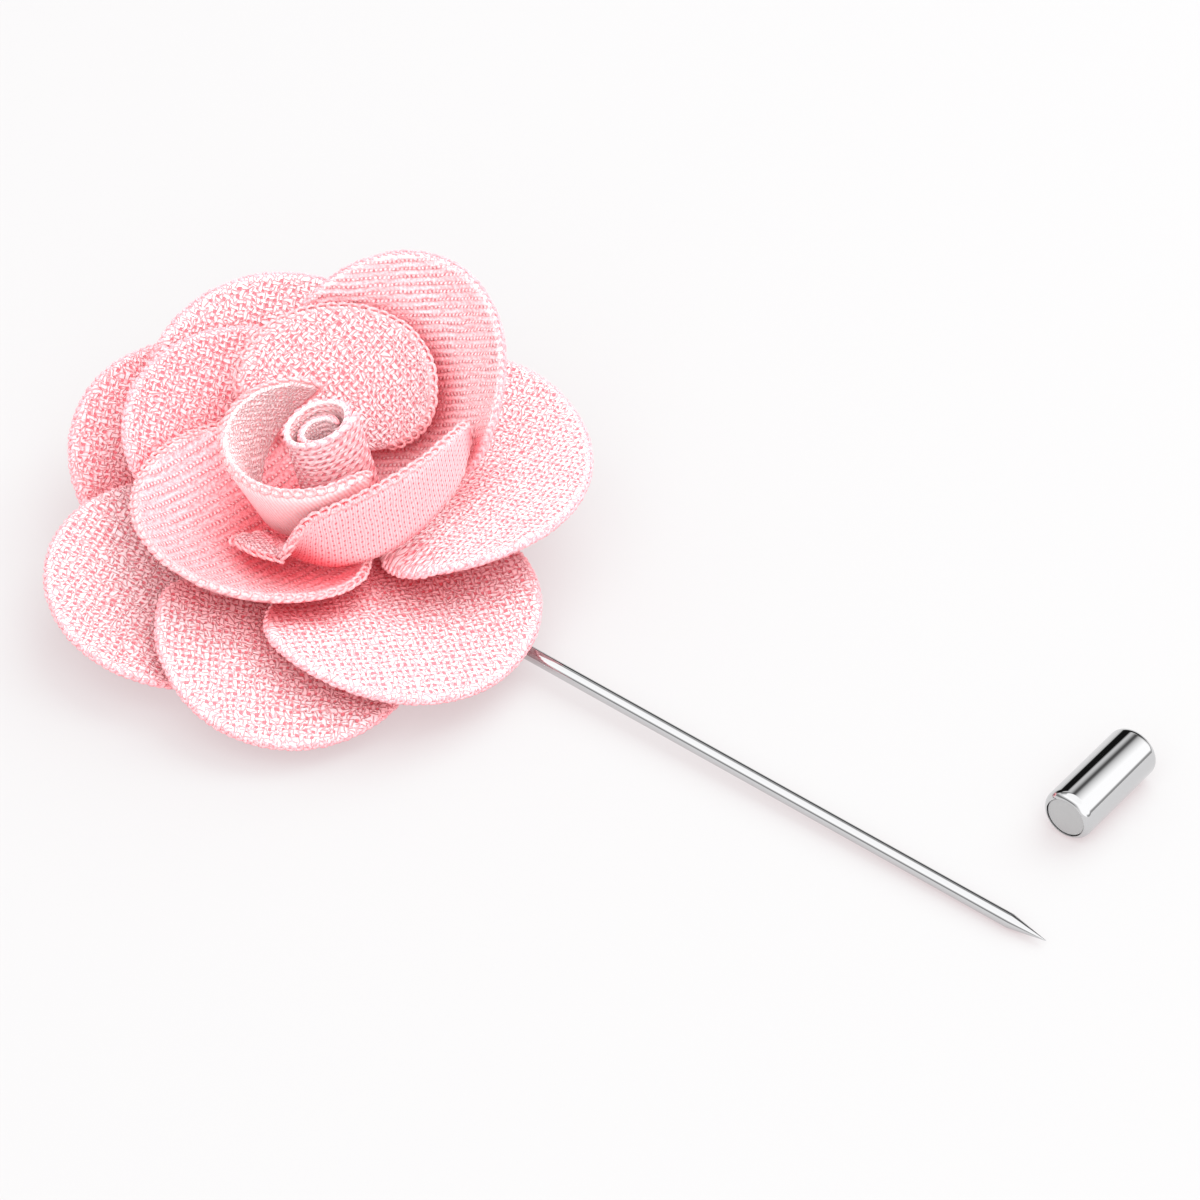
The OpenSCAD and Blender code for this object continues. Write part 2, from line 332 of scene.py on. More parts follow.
def clothFace(p, x, y, side, relief):
    # one face of the cloth: ribs pressed into it, and rounded off at the rim
    middle, normal, _, _ = surfaceFrame(petalSurface, p, x, y)
    a, b = flatPlace(p, x, y)
    q = np.clip(np.hypot(x, y), 0, 1)
    band = cloth["hemBand"] / (cloth["round"] * p["half"])
    fall = np.clip((q - 1 + band) / band, 0, 1)
    thick = cloth["thick"] / 2 * np.sqrt(1 - cloth["hemThinner"] * fall ** 2)
    if relief:
        thick = thick - relief * (1 - ribRelief(p, a, b)) * (1 - fall)
    return middle + normal * (side * thick)[..., None], np.stack([a, b], -1), fall


# painted shade in folds: how closed in the cloth lies, felt out from a coarse net with rays of some
# millimetres, each turned on by the golden angle; the yarn is painted darker where it lies closed in
folds = {"reach": 8, "start": 0.7, "rays": 24, "rayTurn": 2.39996, "farFades": 0.6, "across": 28,
         "least": 0.2, "most": 0.68}


def solidsTree():
    # every CAD solid in one tree, in millimetres
    points, polygons = [], []
    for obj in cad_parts.values():
        first = len(points)
        points += [obj.matrix_world @ v.co / mm for v in obj.data.vertices]
        polygons += [[first + i for i in f.vertices] for f in obj.data.polygons]
    return BVHTree.FromPolygons(points, polygons)


def openSky(middle, normal, side):
    # 0 where the cloth lies open, 1 where the layers round it close it in: the mask of the painted shade
    count = folds["rays"]
    k = np.arange(count) + 0.5
    radius, turn = np.sqrt(k / count), k * folds["rayTurn"]
    rays = np.stack([radius * np.cos(turn), radius * np.sin(turn), np.sqrt(1 - radius ** 2)], -1)
    closed = np.zeros(middle.shape[:2])
    for i in range(middle.shape[0]):
        for j in range(middle.shape[1]):
            n = Vector(normal[i, j]) * side
            start = Vector(middle[i, j]) + n * folds["start"]
            turned = Vector((0, 0, 1)).rotation_difference(n).to_matrix()
            for ray in rays:
                hit = cadSolids.ray_cast(start, turned @ Vector(ray), folds["reach"])[3]
                if hit is not None:
                    closed[i, j] += 1 - folds["farFades"] * hit / folds["reach"]
    closed = np.clip((closed / count - folds["least"]) / (folds["most"] - folds["least"]), 0, 1)
    # evened out with the eight neighbours
    wide = np.pad(closed, 1, mode="edge")
    shifts = [wide[i:i + closed.shape[0], j:j + closed.shape[1]] for i in range(3) for j in range(3)]
    return sum(shifts) / len(shifts)


def spread(coarse, countA, countB):
    # a coarse net's values on a finer net over the same square
    a = np.linspace(0, coarse.shape[0] - 1, countA + 1)
    b = np.linspace(0, coarse.shape[1] - 1, countB + 1)
    i = np.minimum(a.astype(int), coarse.shape[0] - 2)
    j = np.minimum(b.astype(int), coarse.shape[1] - 2)
    fa, fb = (a - i)[:, None], (b - j)[None]
    i, j = i[:, None], j[None]
    return ((coarse[i, j] * (1 - fb) + coarse[i, j + 1] * fb) * (1 - fa)
            + (coarse[i + 1, j] * (1 - fb) + coarse[i + 1, j + 1] * fb) * fa)


def setAmount(obj, name, *parts):
    # a value for each point, which the materials read
    values = np.concatenate([part.ravel() for part in parts]).astype(np.float32)
    obj.data.attributes.new(name, "FLOAT", "POINT").data.foreach_set("value", values)


def petalMesh(name, p):
    size, coarse = cloth["round"], cloth["backCoarser"]
    stepsA = coarse * round(size * (p["reach"] + p["heel"]) / cloth["along"] / coarse)
    stepsB = coarse * round(2 * size * p["half"] / cloth["fine"] / coarse)
    x, y = squareToDisc(p, stepsA, stepsB)
    front, flatFront, hemFront = clothFace(p, x, y, 1, p["ribDepth"])
    backDepth = p.get("backDepth", 0.5 * p["ribDepth"])
    back, flatBack, hemBack = clothFace(p, x[::coarse, ::coarse], y[::coarse, ::coarse], -1, backDepth)
    net = squareToDisc(p, folds["across"], folds["across"])
    middle, normal, _, _ = surfaceFrame(petalSurface, p, *net)
    # painted shade: the yarn is darkened where the layers round the cloth close it in, and by a petal's
    # shade all over
    share, shade = p.get("foldShare", 1), p.get("shade", 0)
    foldFront = shade + share * spread(openSky(middle, normal, 1), stepsA, stepsB)
    foldBack = shade + share * spread(openSky(middle, normal, -1), stepsA // coarse, stepsB // coarse)
    count = front[..., 0].size
    frontIndex = np.arange(count).reshape(front.shape[:2])
    backIndex = count + np.arange(back[..., 0].size).reshape(back.shape[:2])
    quads = np.concatenate([netFaces(frontIndex), netFaces(backIndex)[:, ::-1]])
    frontRim, backRim = rimOf(frontIndex), rimOf(backIndex)
    here = np.arange(len(frontRim))
    low = backRim[here // coarse]
    lowNext = backRim[((here + 1) // coarse) % len(backRim)]
    upNext = frontRim[(here + 1) % len(frontRim)]
    joined = low == lowNext
    rimQuads = np.stack([frontRim, low, lowNext, upNext], -1)[~joined]
    rimTriangles = np.stack([frontRim, low, upNext], -1)[joined]
    points = np.concatenate([front.reshape(-1, 3), back.reshape(-1, 3)])
    obj = meshFromArrays(name, points, np.concatenate([quads, rimQuads]), rimTriangles)
    setMap(obj, np.concatenate([flatFront.reshape(-1, 2), flatBack.reshape(-1, 2)]))
    setAmount(obj, "fold", foldFront, foldBack)
    setAmount(obj, "hem", hemFront, hemBack)
    sides = np.ones(len(obj.data.polygons), np.int32)
    sides[:netFaces(frontIndex).shape[0]] = 0
    obj.data.polygons.foreach_set("material_index", sides)
    return obj


# crocheted edge: a chain of small loops along the rim, sizes in millimetres
edgeChains = {"plaited": {"pitch": 0.86, "longHalf": 0.5, "shortHalf": 0.31, "thread": 0.14,
                          "inset": 0.0, "lift": 0.1},
              "bound": {"pitch": 0.66, "longHalf": 0.36, "shortHalf": 0.17, "thread": 0.15,
                        "inset": 0.06, "lift": 0.02},
              "ringSteps": 8, "threadSteps": 5, "lean": 0.8, "leanPlay": 0.25, "turnPlay": 0.22,
              "sizePlay": 0.08, "arch": 0.12, "edgeReach": 150, "rimSteps": 1600, "ahead": 0.003}


def chainMesh(name, c, places, along, outward, normal, seed):
    # a loop of thread at each place, its plane leaning from the cloth's face to its edge
    rng = np.random.default_rng(seed)
    count = len(places)
    lean = edgeChains["lean"] + rng.uniform(-edgeChains["leanPlay"], edgeChains["leanPlay"], count)
    turn = rng.uniform(-edgeChains["turnPlay"], edgeChains["turnPlay"], count)
    size = rng.uniform(1 - edgeChains["sizePlay"], 1 + edgeChains["sizePlay"], count)
    flatWay = outward * np.cos(lean)[:, None] - normal * np.sin(lean)[:, None]
    faceWay = outward * np.sin(lean)[:, None] + normal * np.cos(lean)[:, None]
    longWay = along * np.cos(turn)[:, None] + flatWay * np.sin(turn)[:, None]
    shortWay = flatWay * np.cos(turn)[:, None] - along * np.sin(turn)[:, None]
    ringSteps, threadSteps = edgeChains["ringSteps"], edgeChains["threadSteps"]
    ring = np.arange(ringSteps) * 2 * np.pi / ringSteps
    tube = np.arange(threadSteps) * 2 * np.pi / threadSteps
    r, t = [v.ravel() for v in np.meshgrid(ring, tube, indexing="ij")]
    out = c["thread"] * np.cos(t)
    localLong = (c["longHalf"] + out) * np.cos(r)
    localShort = (c["shortHalf"] + out) * np.sin(r)
    localUp = c["thread"] * np.sin(t) + edgeChains["arch"] * np.cos(r)
    points = (places[:, None] + size[:, None, None] * (
        longWay[:, None] * localLong[None, :, None] + shortWay[:, None] * localShort[None, :, None]
        + faceWay[:, None] * localUp[None, :, None]))
    index = np.arange(ringSteps * threadSteps).reshape(ringSteps, threadSteps)
    next1, next2 = np.roll(index, -1, 0), np.roll(index, -1, 1)
    quad = np.stack([index, next1, np.roll(next1, -1, 1), next2], -1).reshape(-1, 4)
    quads = (quad[None] + (np.arange(count) * index.size)[:, None, None]).reshape(-1, 4)
    return meshFromArrays(name, points.reshape(-1, 3), quads)


def petalEdge(name, p, seed):
    # equal steps along the part of the rim that isn't sewn under the bud
    c = edgeChains[p.get("edge", "bound")]
    reach = math.radians(edgeChains["edgeReach"])
    angle = np.linspace(-reach, reach, edgeChains["rimSteps"])
    x, y = np.cos(angle), np.sin(angle)
    rim = petalSurface(p, x, y)
    length = np.concatenate([[0], np.cumsum(np.linalg.norm(np.diff(rim, axis=0), axis=1))])
    count = int(length[-1] / c["pitch"])
    angle = np.interp((np.arange(count) + 0.5) * length[-1] / count, length, angle)
    x, y = np.cos(angle), np.sin(angle)
    rim, normal, dx, dy = surfaceFrame(petalSurface, p, x, y)
    nextAngle = angle + edgeChains["ahead"]
    along = unit(petalSurface(p, np.cos(nextAngle), np.sin(nextAngle)) - rim)
    outward = unit(np.cross(along, normal))
    normal = normal * p.get("edgeSide", 1)
    places = rim - outward * c["inset"] + normal * c["lift"]
    return chainMesh(name, c, places, along, outward, normal, seed)


# Polyester yarn, loosely woven and knitted, matt and pink. Its colour follows the height of the threads:
# near white on a thread's top, a painted highlight, pink along its sides, and deep pink in the holes,
# painted shade. In a fold the yarn is painted a deeper pink, painted shade for light that has gone through
# the cloth round it. Reliefs are in millimetres and scales in patches a millimetre.
yarns = {"pink": {"light": "#ffe1e4", "body": "#fdcdd2", "side": "#f5adb3", "deep": "#e47d87"},
         # pale: the same yarn painted lighter, painted light for cloth that lies in shade
         "pale": {"light": "#fff0f1", "body": "#ffe2e5", "side": "#fdd0d2", "deep": "#f4b0b5"},
         # the colour that the painted shade in folds multiplies the yarn by
         "fold": "#f1929a", "sheen": "#ffe3e7"}
basket = {"wander": 0.55, "wanderScale": 0.55, "jitter": 0.12, "jitterScale": 2.2, "patchScale": 1.3,
          "patchShare": 1.1, "holes": [(0.7, 0.0), (0.88, 0.5), (1.0, 1.0)], "strandScale": 1.35,
          "stretch": 2.3, "random": 0.75, "strandEdge": 0.2, "strandLow": 0.3, "relief": 0.18,
          "tints": (0.04, 0.36, 0.66, 0.92)}
ribbing = {"wander": 0.25, "wanderScale": 0.5, "jitter": 0.08, "jitterScale": 2.5, "strandScale": 3.5,
           "uneven": 0.22, "grooveSoft": 0.14, "ribLow": 0.3, "stitchGap": (0.25, 0.6), "hemRise": 0.5,
           "relief": 0.22, "tints": (0.0, 0.34, 0.62, 0.88)}
smoothKnit = {"wander": 0.25, "wanderScale": 0.6, "jitter": 0.1, "jitterScale": 2.5, "strandScale": 4.0,
              "uneven": 0.08, "dotSlant": 0.35, "dotEdge": (0.1, 0.3), "lineHigh": 0.86, "relief": 0.06,
              "tints": (0.1, 0.45, 0.74, 1.0)}


def clothPlace(tree, weave):
    # the cloth's own map in millimetres, with a slow wander and a small uneven shake
    place = addNode(tree, "UVMap", uv_map="ribs").outputs[0]
    for way in ("wander", "jitter"):
        noise = addNode(tree, "TexNoise", {"Scale": weave[way + "Scale"], "Detail": 1.0},
                        {"Vector": place}, noise_dimensions="2D")
        centred = addNode(tree, "VectorMath", {1: (0.5, 0.5, 0.5)}, {0: noise.outputs["Color"]},
                          operation="SUBTRACT")
        place = addNode(tree, "VectorMath", {1: (weave[way], weave[way], 0)},
                        {0: centred.outputs[0], 2: place}, operation="MULTIPLY_ADD").outputs[0]
    return place


def threadWaves(tree, place, pitches, slant=0):
    threads = addNode(tree, "VectorMath", {1: (1 / pitches[0], 1 / pitches[1], 0), 2: (0, 0, 0.5)},
                      {0: place}, operation="MULTIPLY_ADD").outputs[0]
    slanted = addNode(tree, "Mapping", {"Rotation": (0, 0, slant)}, {0: threads}).outputs[0]
    oneWave = math.pi / 10  # the wave texture's scale for a wave a unit
    along = addNode(tree, "TexWave", {"Scale": oneWave}, {"Vector": slanted}, bands_direction="X")
    across = addNode(tree, "TexWave", {"Scale": oneWave}, {"Vector": threads}, bands_direction="Y")
    return threads, along.outputs["Fac"], across.outputs["Fac"]


def plainNoise(tree, place, scale):
    return addNode(tree, "TexNoise", {"Scale": scale, "Detail": 2.0}, {"Vector": place},
                   noise_dimensions="2D").outputs["Fac"]


def unevenThreads(tree, place, height, weave):
    # no two stitches stand quite as high
    strand = plainNoise(tree, place, weave["strandScale"])
    uneven = addNode(tree, "MapRange", {1: 0.3, 2: 0.7, 3: -weave["uneven"], 4: weave["uneven"]},
                     {0: strand})
    return addNode(tree, "Math", links={0: height, 1: uneven.outputs[0]}, operation="ADD").outputs[0]


def finishYarn(tree, shader, height, weave, tone):
    # colour and relief from the height of the threads, 0 in a hole and 1 on top; the colour is painted
    # shade low down and a painted highlight on top
    shades = [yarns[tone][shade] for shade in ("deep", "side", "body", "light")]
    tint = setRamp(addNode(tree, "ValToRGB", links={0: height}), list(zip(weave["tints"], shades)))
    # painted shade in folds: the yarn multiplied towards deep pink by the mask baked into the cloth
    fold = addNode(tree, "Attribute", attribute_name="fold")
    tint = addNode(tree, "Mix", {7: hexToLinear(yarns["fold"])},
                   {0: fold.outputs["Fac"], 6: tint.outputs["Color"]}, data_type="RGBA",
                   blend_type="MULTIPLY")
    bump = addNode(tree, "Bump", {"Strength": 0.9, "Distance": weave["relief"] * mm}, {"Height": height})
    tree.links.new(bump.outputs[0], shader.inputs["Normal"])
    tree.links.new(tint.outputs[2], shader.inputs["Base Color"])
    shader.inputs["Roughness"].default_value = 0.85
    shader.inputs["Specular IOR Level"].default_value = 0.15
    shader.inputs["Sheen Weight"].default_value = 0.1
    shader.inputs["Sheen Roughness"].default_value = 0.5
    shader.inputs["Sheen Tint"].default_value = hexToLinear(yarns["sheen"])


def basketMaterial(name, p):
    # threads over and under each other, with a small round hole at each corner
    material, tree, shader = newMaterial(name)
    place = clothPlace(tree, basket)
    threads, along, across = threadWaves(tree, place, (p["stitchPitch"], p["ribPitch"]))
    cover = addNode(tree, "Math", links={0: along, 1: across}, operation="MAXIMUM")
    patch = plainNoise(tree, place, basket["patchScale"])
    cover = addNode(tree, "Math", {1: basket["patchShare"]}, {0: patch, 2: cover.outputs[0]},
                    operation="MULTIPLY_ADD")
    hem = addNode(tree, "Attribute", attribute_name="hem")
    cover = addNode(tree, "Math", links={0: cover.outputs[0], 1: hem.outputs["Fac"]}, operation="ADD")
    whole = setRamp(addNode(tree, "ValToRGB", links={0: cover.outputs[0]}), basket["holes"])
    stretch = basket["stretch"]
    overUnder = addNode(tree, "TexChecker", {"Scale": 1.0, 1: (1, stretch, 1, 1), 2: (stretch, 1, 1, 1)},
                        {"Vector": threads})
    strandPlace = addNode(tree, "VectorMath", links={0: place, 1: overUnder.outputs["Color"]},
                          operation="MULTIPLY")
    strand = addNode(tree, "TexVoronoi", {"Scale": basket["strandScale"], "Randomness": basket["random"]},
                     {"Vector": strandPlace.outputs[0]}, voronoi_dimensions="2D",
                     feature="DISTANCE_TO_EDGE")
    lively = addNode(tree, "MapRange", {1: 0.0, 2: basket["strandEdge"], 3: basket["strandLow"], 4: 1.0},
                     {0: strand.outputs["Distance"]})
    height = addNode(tree, "Math", links={0: whole.outputs["Color"], 1: lively.outputs[0]},
                     operation="MULTIPLY")
    finishYarn(tree, shader, height.outputs[0], basket, p.get("tone", "pink"))
    return material


def ribMaterial(name, p):
    # round ribs, and in each groove a row of pale stitches with small gaps between them
    material, tree, shader = newMaterial(name)
    place = clothPlace(tree, ribbing)
    pitches = p["stitchPitch"], p["ribPitch"]
    _, along, across = threadWaves(tree, place, pitches, p.get("slant", 0))
    edge = p["grooveShare"]
    groove = setRamp(addNode(tree, "ValToRGB", links={0: across}),
                     [(edge, 1.0), (edge + ribbing["grooveSoft"], 0.0)])
    crest = addNode(tree, "MapRange", {3: ribbing["ribLow"], 4: p["crest"]}, {0: across})
    gapFrom, gapTo = ribbing["stitchGap"]
    stitch = setRamp(addNode(tree, "ValToRGB", links={0: along}), [(gapFrom, p["gap"]), (gapTo, 1.0)])
    height = addNode(tree, "Mix", links={0: groove.outputs["Color"], 2: crest.outputs[0],
                                         3: stitch.outputs["Color"]}, data_type="FLOAT")
    height = unevenThreads(tree, place, height.outputs[0], ribbing)
    hem = addNode(tree, "Attribute", attribute_name="hem")
    height = addNode(tree, "Math", {1: ribbing["hemRise"]}, {0: hem.outputs["Fac"], 2: height},
                     operation="MULTIPLY_ADD")
    finishYarn(tree, shader, height.outputs[0], ribbing, p.get("tone", "pink"))
    return material


def smoothMaterial(name, p):
    # the wrong side of the knit: fine lines and small holes in slanted rows
    material, tree, shader = newMaterial(name)
    place = clothPlace(tree, smoothKnit)
    turned = addNode(tree, "Mapping", {"Rotation": (0, 0, math.radians(p["lineTurn"]))}, {0: place})
    _, _, line = threadWaves(tree, turned.outputs[0], (p["finePitch"], p["finePitch"]))
    _, dotsAlong, dotsAcross = threadWaves(tree, place, p["dotPitches"], smoothKnit["dotSlant"])
    dots = addNode(tree, "Math", links={0: dotsAlong, 1: dotsAcross}, operation="MAXIMUM")
    dotFrom, dotTo = smoothKnit["dotEdge"]
    solid = setRamp(addNode(tree, "ValToRGB", links={0: dots.outputs[0]}),
                    [(dotFrom, 1 - p["dotShare"]), (dotTo, 1.0)])
    level = addNode(tree, "MapRange", {3: p["lineLow"], 4: smoothKnit["lineHigh"]}, {0: line})
    height = addNode(tree, "Math", links={0: level.outputs[0], 1: solid.outputs["Color"]},
                     operation="MULTIPLY")
    height = unevenThreads(tree, place, height.outputs[0], smoothKnit)
    finishYarn(tree, shader, height, smoothKnit, p.get("tone", "pink"))
    return material


weaves = {"basket": basketMaterial, "ribbed": ribMaterial, "smooth": smoothMaterial}


# the strands of the edge's thread are 0.2 mm, drawn coarser than they are so that they show
edgeYarn = {"strand": 0.2, "relief": 0.06, "tints": (0.35, 0.6), "bound": ("#ec949d", "#ffbcc1"),
            "plaited": ("#eb939a", "#ffbfc1"), "heart": ("#d97a84", "#f5b2b9")}


def edgeMaterial(name, shades):
    # The same polyester yarn, plied tighter: paler and matt, mottled where strands cross.
    material, tree, shader = newMaterial(name)
    place = addNode(tree, "TexCoord")
    strands = addNode(tree, "TexNoise", {"Scale": 1 / (edgeYarn["strand"] * mm), "Detail": 2.0},
                      {"Vector": place.outputs["Object"]})
    tint = setRamp(addNode(tree, "ValToRGB", links={0: strands.outputs["Fac"]}),
                   list(zip(edgeYarn["tints"], shades)))
    tree.links.new(tint.outputs["Color"], shader.inputs["Base Color"])
    bump = addNode(tree, "Bump", {"Strength": 0.4, "Distance": edgeYarn["relief"] * mm},
                   {"Height": strands.outputs["Fac"]})
    tree.links.new(bump.outputs[0], shader.inputs["Normal"])
    shader.inputs["Roughness"].default_value = 0.8
    shader.inputs["Specular IOR Level"].default_value = 0.2
    shader.inputs["Sheen Weight"].default_value = 0.15
    return material


def petal(node, p, seed):
    # a petal and its crocheted edge, in place of the CAD node
    piece = petalMesh(node + "_cloth", p)
    weave = p.get("weave", "basket")
    backWeave = p.get("backWeave", weave)
    piece.data.materials.append(weaves[weave](node + "Face", p))
    piece.data.materials.append(weaves[backWeave](node + "Back", p))
    edge = petalEdge(node + "_edge", p, seed)
    edge.data.materials.append(edgeYarns[p.get("edge", "bound")])
    for obj in (piece, edge):
        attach(obj, "root")
    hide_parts(node)


cadSolids = solidsTree()
edgeYarns = {"bound": edgeMaterial("boundEdgeYarn", edgeYarn["bound"]),
             "plaited": edgeMaterial("plaitedEdgeYarn", edgeYarn["plaited"])}
plainWeave = {"ribPitch": 0.56, "stitchPitch": 0.58, "ribDepth": 0.04}
smoothBack = {"ribPitch": 0.5, "stitchPitch": 0.46, "ribDepth": 0.05, "backDepth": 0.0,
              "backWeave": "smooth", "edgeSide": -1, "edge": "plaited"}

# each petal: where it is sewn on, its cut, how it is bent, and its weave; shade and the share of its
# folds' darkening set how much painted shade darkens all of it and its folds
outerPetal1 = {"aim": -48, "out": 0.220, "level": 3.20, "reach": 0.445, "heel": 0.300, "half": 0.490,
               "rise": -4, "curl": -10, "cup": 8, "roll": -6, "tipWay": 240, "tip": 0.02,
               "ribTurn": 68, **plainWeave}
petal("outer_petal_1", outerPetal1, 1)
outerPetal2 = {"aim": -100, "out": 0.234, "level": 2.55, "reach": 0.445, "heel": 0.250, "half": 0.440,
               "rise": -5, "curl": -10, "cup": 8, "roll": -9, "foldShare": 0.7,
               "ribTurn": 10, **plainWeave}
petal("outer_petal_2", outerPetal2, 2)
outerPetal3 = {"aim": -160, "out": 0.264, "level": 2.20, "reach": 0.440, "heel": 0.270, "half": 0.450,
               "rise": 7, "curl": 4, "cup": 8, "roll": -10, "foldShare": 0.7,
               "ribTurn": 50, "ribPitch": 0.66, "stitchPitch": 0.5, "ribDepth": 0.08}
petal("outer_petal_3", outerPetal3, 3)
outerPetal4 = {"aim": 134, "out": 0.314, "level": 2.85, "reach": 0.470, "heel": 0.330, "half": 0.450,
               "rise": 24, "curl": 10, "cup": 10, "roll": -8,
               "ribTurn": 40, "ribPitch": 0.6, "stitchPitch": 0.56, "ribDepth": 0.06, "shade": 0.34}
petal("outer_petal_4", outerPetal4, 4)
outerPetal5 = {"aim": 104, "out": 0.306, "level": 5.75, "reach": 0.460, "heel": 0.140, "half": 0.480,
               "rise": 38, "curl": 14, "cup": 14, "roll": 0, "foldShare": 0.7,
               "ribTurn": 65, **plainWeave}
petal("outer_petal_5", outerPetal5, 5)
print("outer petals are made")

middlePetal1 = {"aim": 8, "out": 0.264, "side": 0.095, "level": 4.80, "reach": 0.458, "heel": 0.250,
                "half": 0.595, "rise": 12, "curl": 0, "cup": 16, "roll": -4, "tipWay": 212, "tip": 0.34,
                "ribTurn": 50, **plainWeave}
petal("middle_petal_1", middlePetal1, 6)
middlePetal2 = {"aim": 55, "out": 0.266, "level": 9.15, "reach": 0.483, "heel": 0.320, "half": 0.460,
                "rise": 50, "curl": 16, "cup": 36, "roll": 0,
                "ribTurn": 112, "ribPitch": 0.64, "stitchPitch": 0.36, "ribDepth": 0.16, "gap": 0.2,
                "weave": "ribbed", "grooveShare": 0.18, "crest": 0.68, "slant": 0.3, "foldShare": 0.9}
petal("middle_petal_2", middlePetal2, 7)
middlePetal3 = {"aim": 127, "out": 0.230, "level": 6.04, "reach": 0.410, "heel": 0.220, "half": 0.445,
                "rise": 28, "curl": 14, "cup": 22, "roll": 0,
                "ribTurn": 45, "shade": 0.32, **plainWeave}
petal("middle_petal_3", middlePetal3, 8)
middlePetal4 = {"aim": -160, "out": 0.105, "level": 5.10, "reach": 0.455, "heel": 0.320, "half": 0.425,
                "rise": 10, "curl": 18, "cup": 24, "roll": -6, "lip": 0.6, "tipWay": 128, "tip": 0.13,
                "ribTurn": 27, "ribPitch": 0.9, "stitchPitch": 0.38, "ribDepth": 0.14, "gap": 0.14,
                "weave": "ribbed", "grooveShare": 0.12, "crest": 0.52, "slant": 0.2, "edge": "plaited",
                "foldShare": 1.2, "shade": 0.08}
petal("middle_petal_4", middlePetal4, 9)
print("middle petals are made")

innerPetal1 = {"aim": 78, "out": 0.222, "level": 9.35, "reach": 0.290, "heel": 0.190, "half": 0.380,
               "rise": 48, "curl": 10, "cup": 50, "roll": 0,
               "ribTurn": 55, "edge": "plaited", **plainWeave}
petal("inner_petal_1", innerPetal1, 10)
# painted light: the paler yarn lifts the cup, which lies in shade
innerPetal2 = {"aim": -155, "out": 0.126, "side": -0.010, "level": 9.25, "reach": 0.180, "heel": 0.167,
               "half": 0.510, "rise": 66, "curl": 0, "cup": 120, "roll": -9, "taper": 0.4,
               "ribTurn": 35, "finePitch": 0.3, "lineTurn": 40, "lineLow": 0.4, "dotPitches": (0.6, 0.6),
               "dotShare": 0.1, "foldShare": 0.25, "tone": "pale", **smoothBack}
petal("inner_petal_2", innerPetal2, 11)
innerPetal3 = {"aim": -67, "out": 0.172, "side": 0.050, "level": 9.20, "reach": 0.135, "heel": 0.135,
               "half": 0.500, "rise": 92, "curl": 0, "cup": 56, "roll": 15, "flap": 85, "taper": 0.3,
               "ribTurn": 10, "finePitch": 0.22, "lineTurn": 0, "lineLow": 0.5, "dotPitches": (0.5, 0.44),
               "dotShare": 0.95, "shade": 0.22, **smoothBack}
petal("inner_petal_3", innerPetal3, 12)
print("inner petals are made")

# bud: a strip of the same cloth rolled up, its slanted top edge sinking towards the core
bud = {"width": 7.3, "height": 9.4, "lean": 12, "leanAim": 180, "topSlant": 9, "core": 1.2, "pitch": 1.1,
       "end": -15, "sink": 1.4, "place": (2.4, 0.15), "level": 6.4, "cadWall": 0.8, "wall": 0.56,
       "fineAlong": 0.13, "fineUp": 0.12, "hemBand": 0.4, "insidePaintedShade": 0.25, "outsidePaintedShade": 0.9,
       "leastPaintedShade": 0.1, "insideFade": 0.7, "outsideFade": 1.5, "edgeDrop": 0.2, "edgeOut": 0.12,
       "ribPitch": 0.56, "stitchPitch": 0.4, "ribDepth": 0.08, "grooveShare": 0.3, "crest": 0.62,
       "slant": 0.7, "gap": 0.1}


def spin(q, a):
    # points turned round the upright line through the origin
    return np.stack([q[..., 0] * math.cos(a) - q[..., 1] * math.sin(a),
                     q[..., 0] * math.sin(a) + q[..., 1] * math.cos(a), q[..., 2]], -1)


def budTurns(p):
    return ((p["width"] - p["cadWall"]) / 2 - p["core"]) / p["pitch"]


def budSurface(p, f, v):
    # f runs along the strip from the core outwards, v up from its foot
    radius = p["core"] + f * budTurns(p) * p["pitch"]
    angle = math.radians(p["end"]) - (1 - f) * budTurns(p) * 2 * math.pi
    lean, aim = math.radians(p["lean"]), math.radians(p["leanAim"])
    slope = math.tan(math.radians(p["topSlant"]))
    top = p["height"] - p["sink"] * (1 - f) - radius * slope * np.cos(angle - aim)
    q = spin(np.stack([radius * np.cos(angle), radius * np.sin(angle), v * top], -1), -aim)
    q = np.stack([q[..., 0] * math.cos(lean) + q[..., 2] * math.sin(lean), q[..., 1],
                  q[..., 2] * math.cos(lean) - q[..., 0] * math.sin(lean)], -1)
    q = spin(q, aim) + np.array([*p["place"], cloth["padTop"] + cloth["layer"] * p["level"]])
    return spin(q, math.radians(cloth["flowerTurn"])) - np.array([0, cloth["flowerSide"], 0])


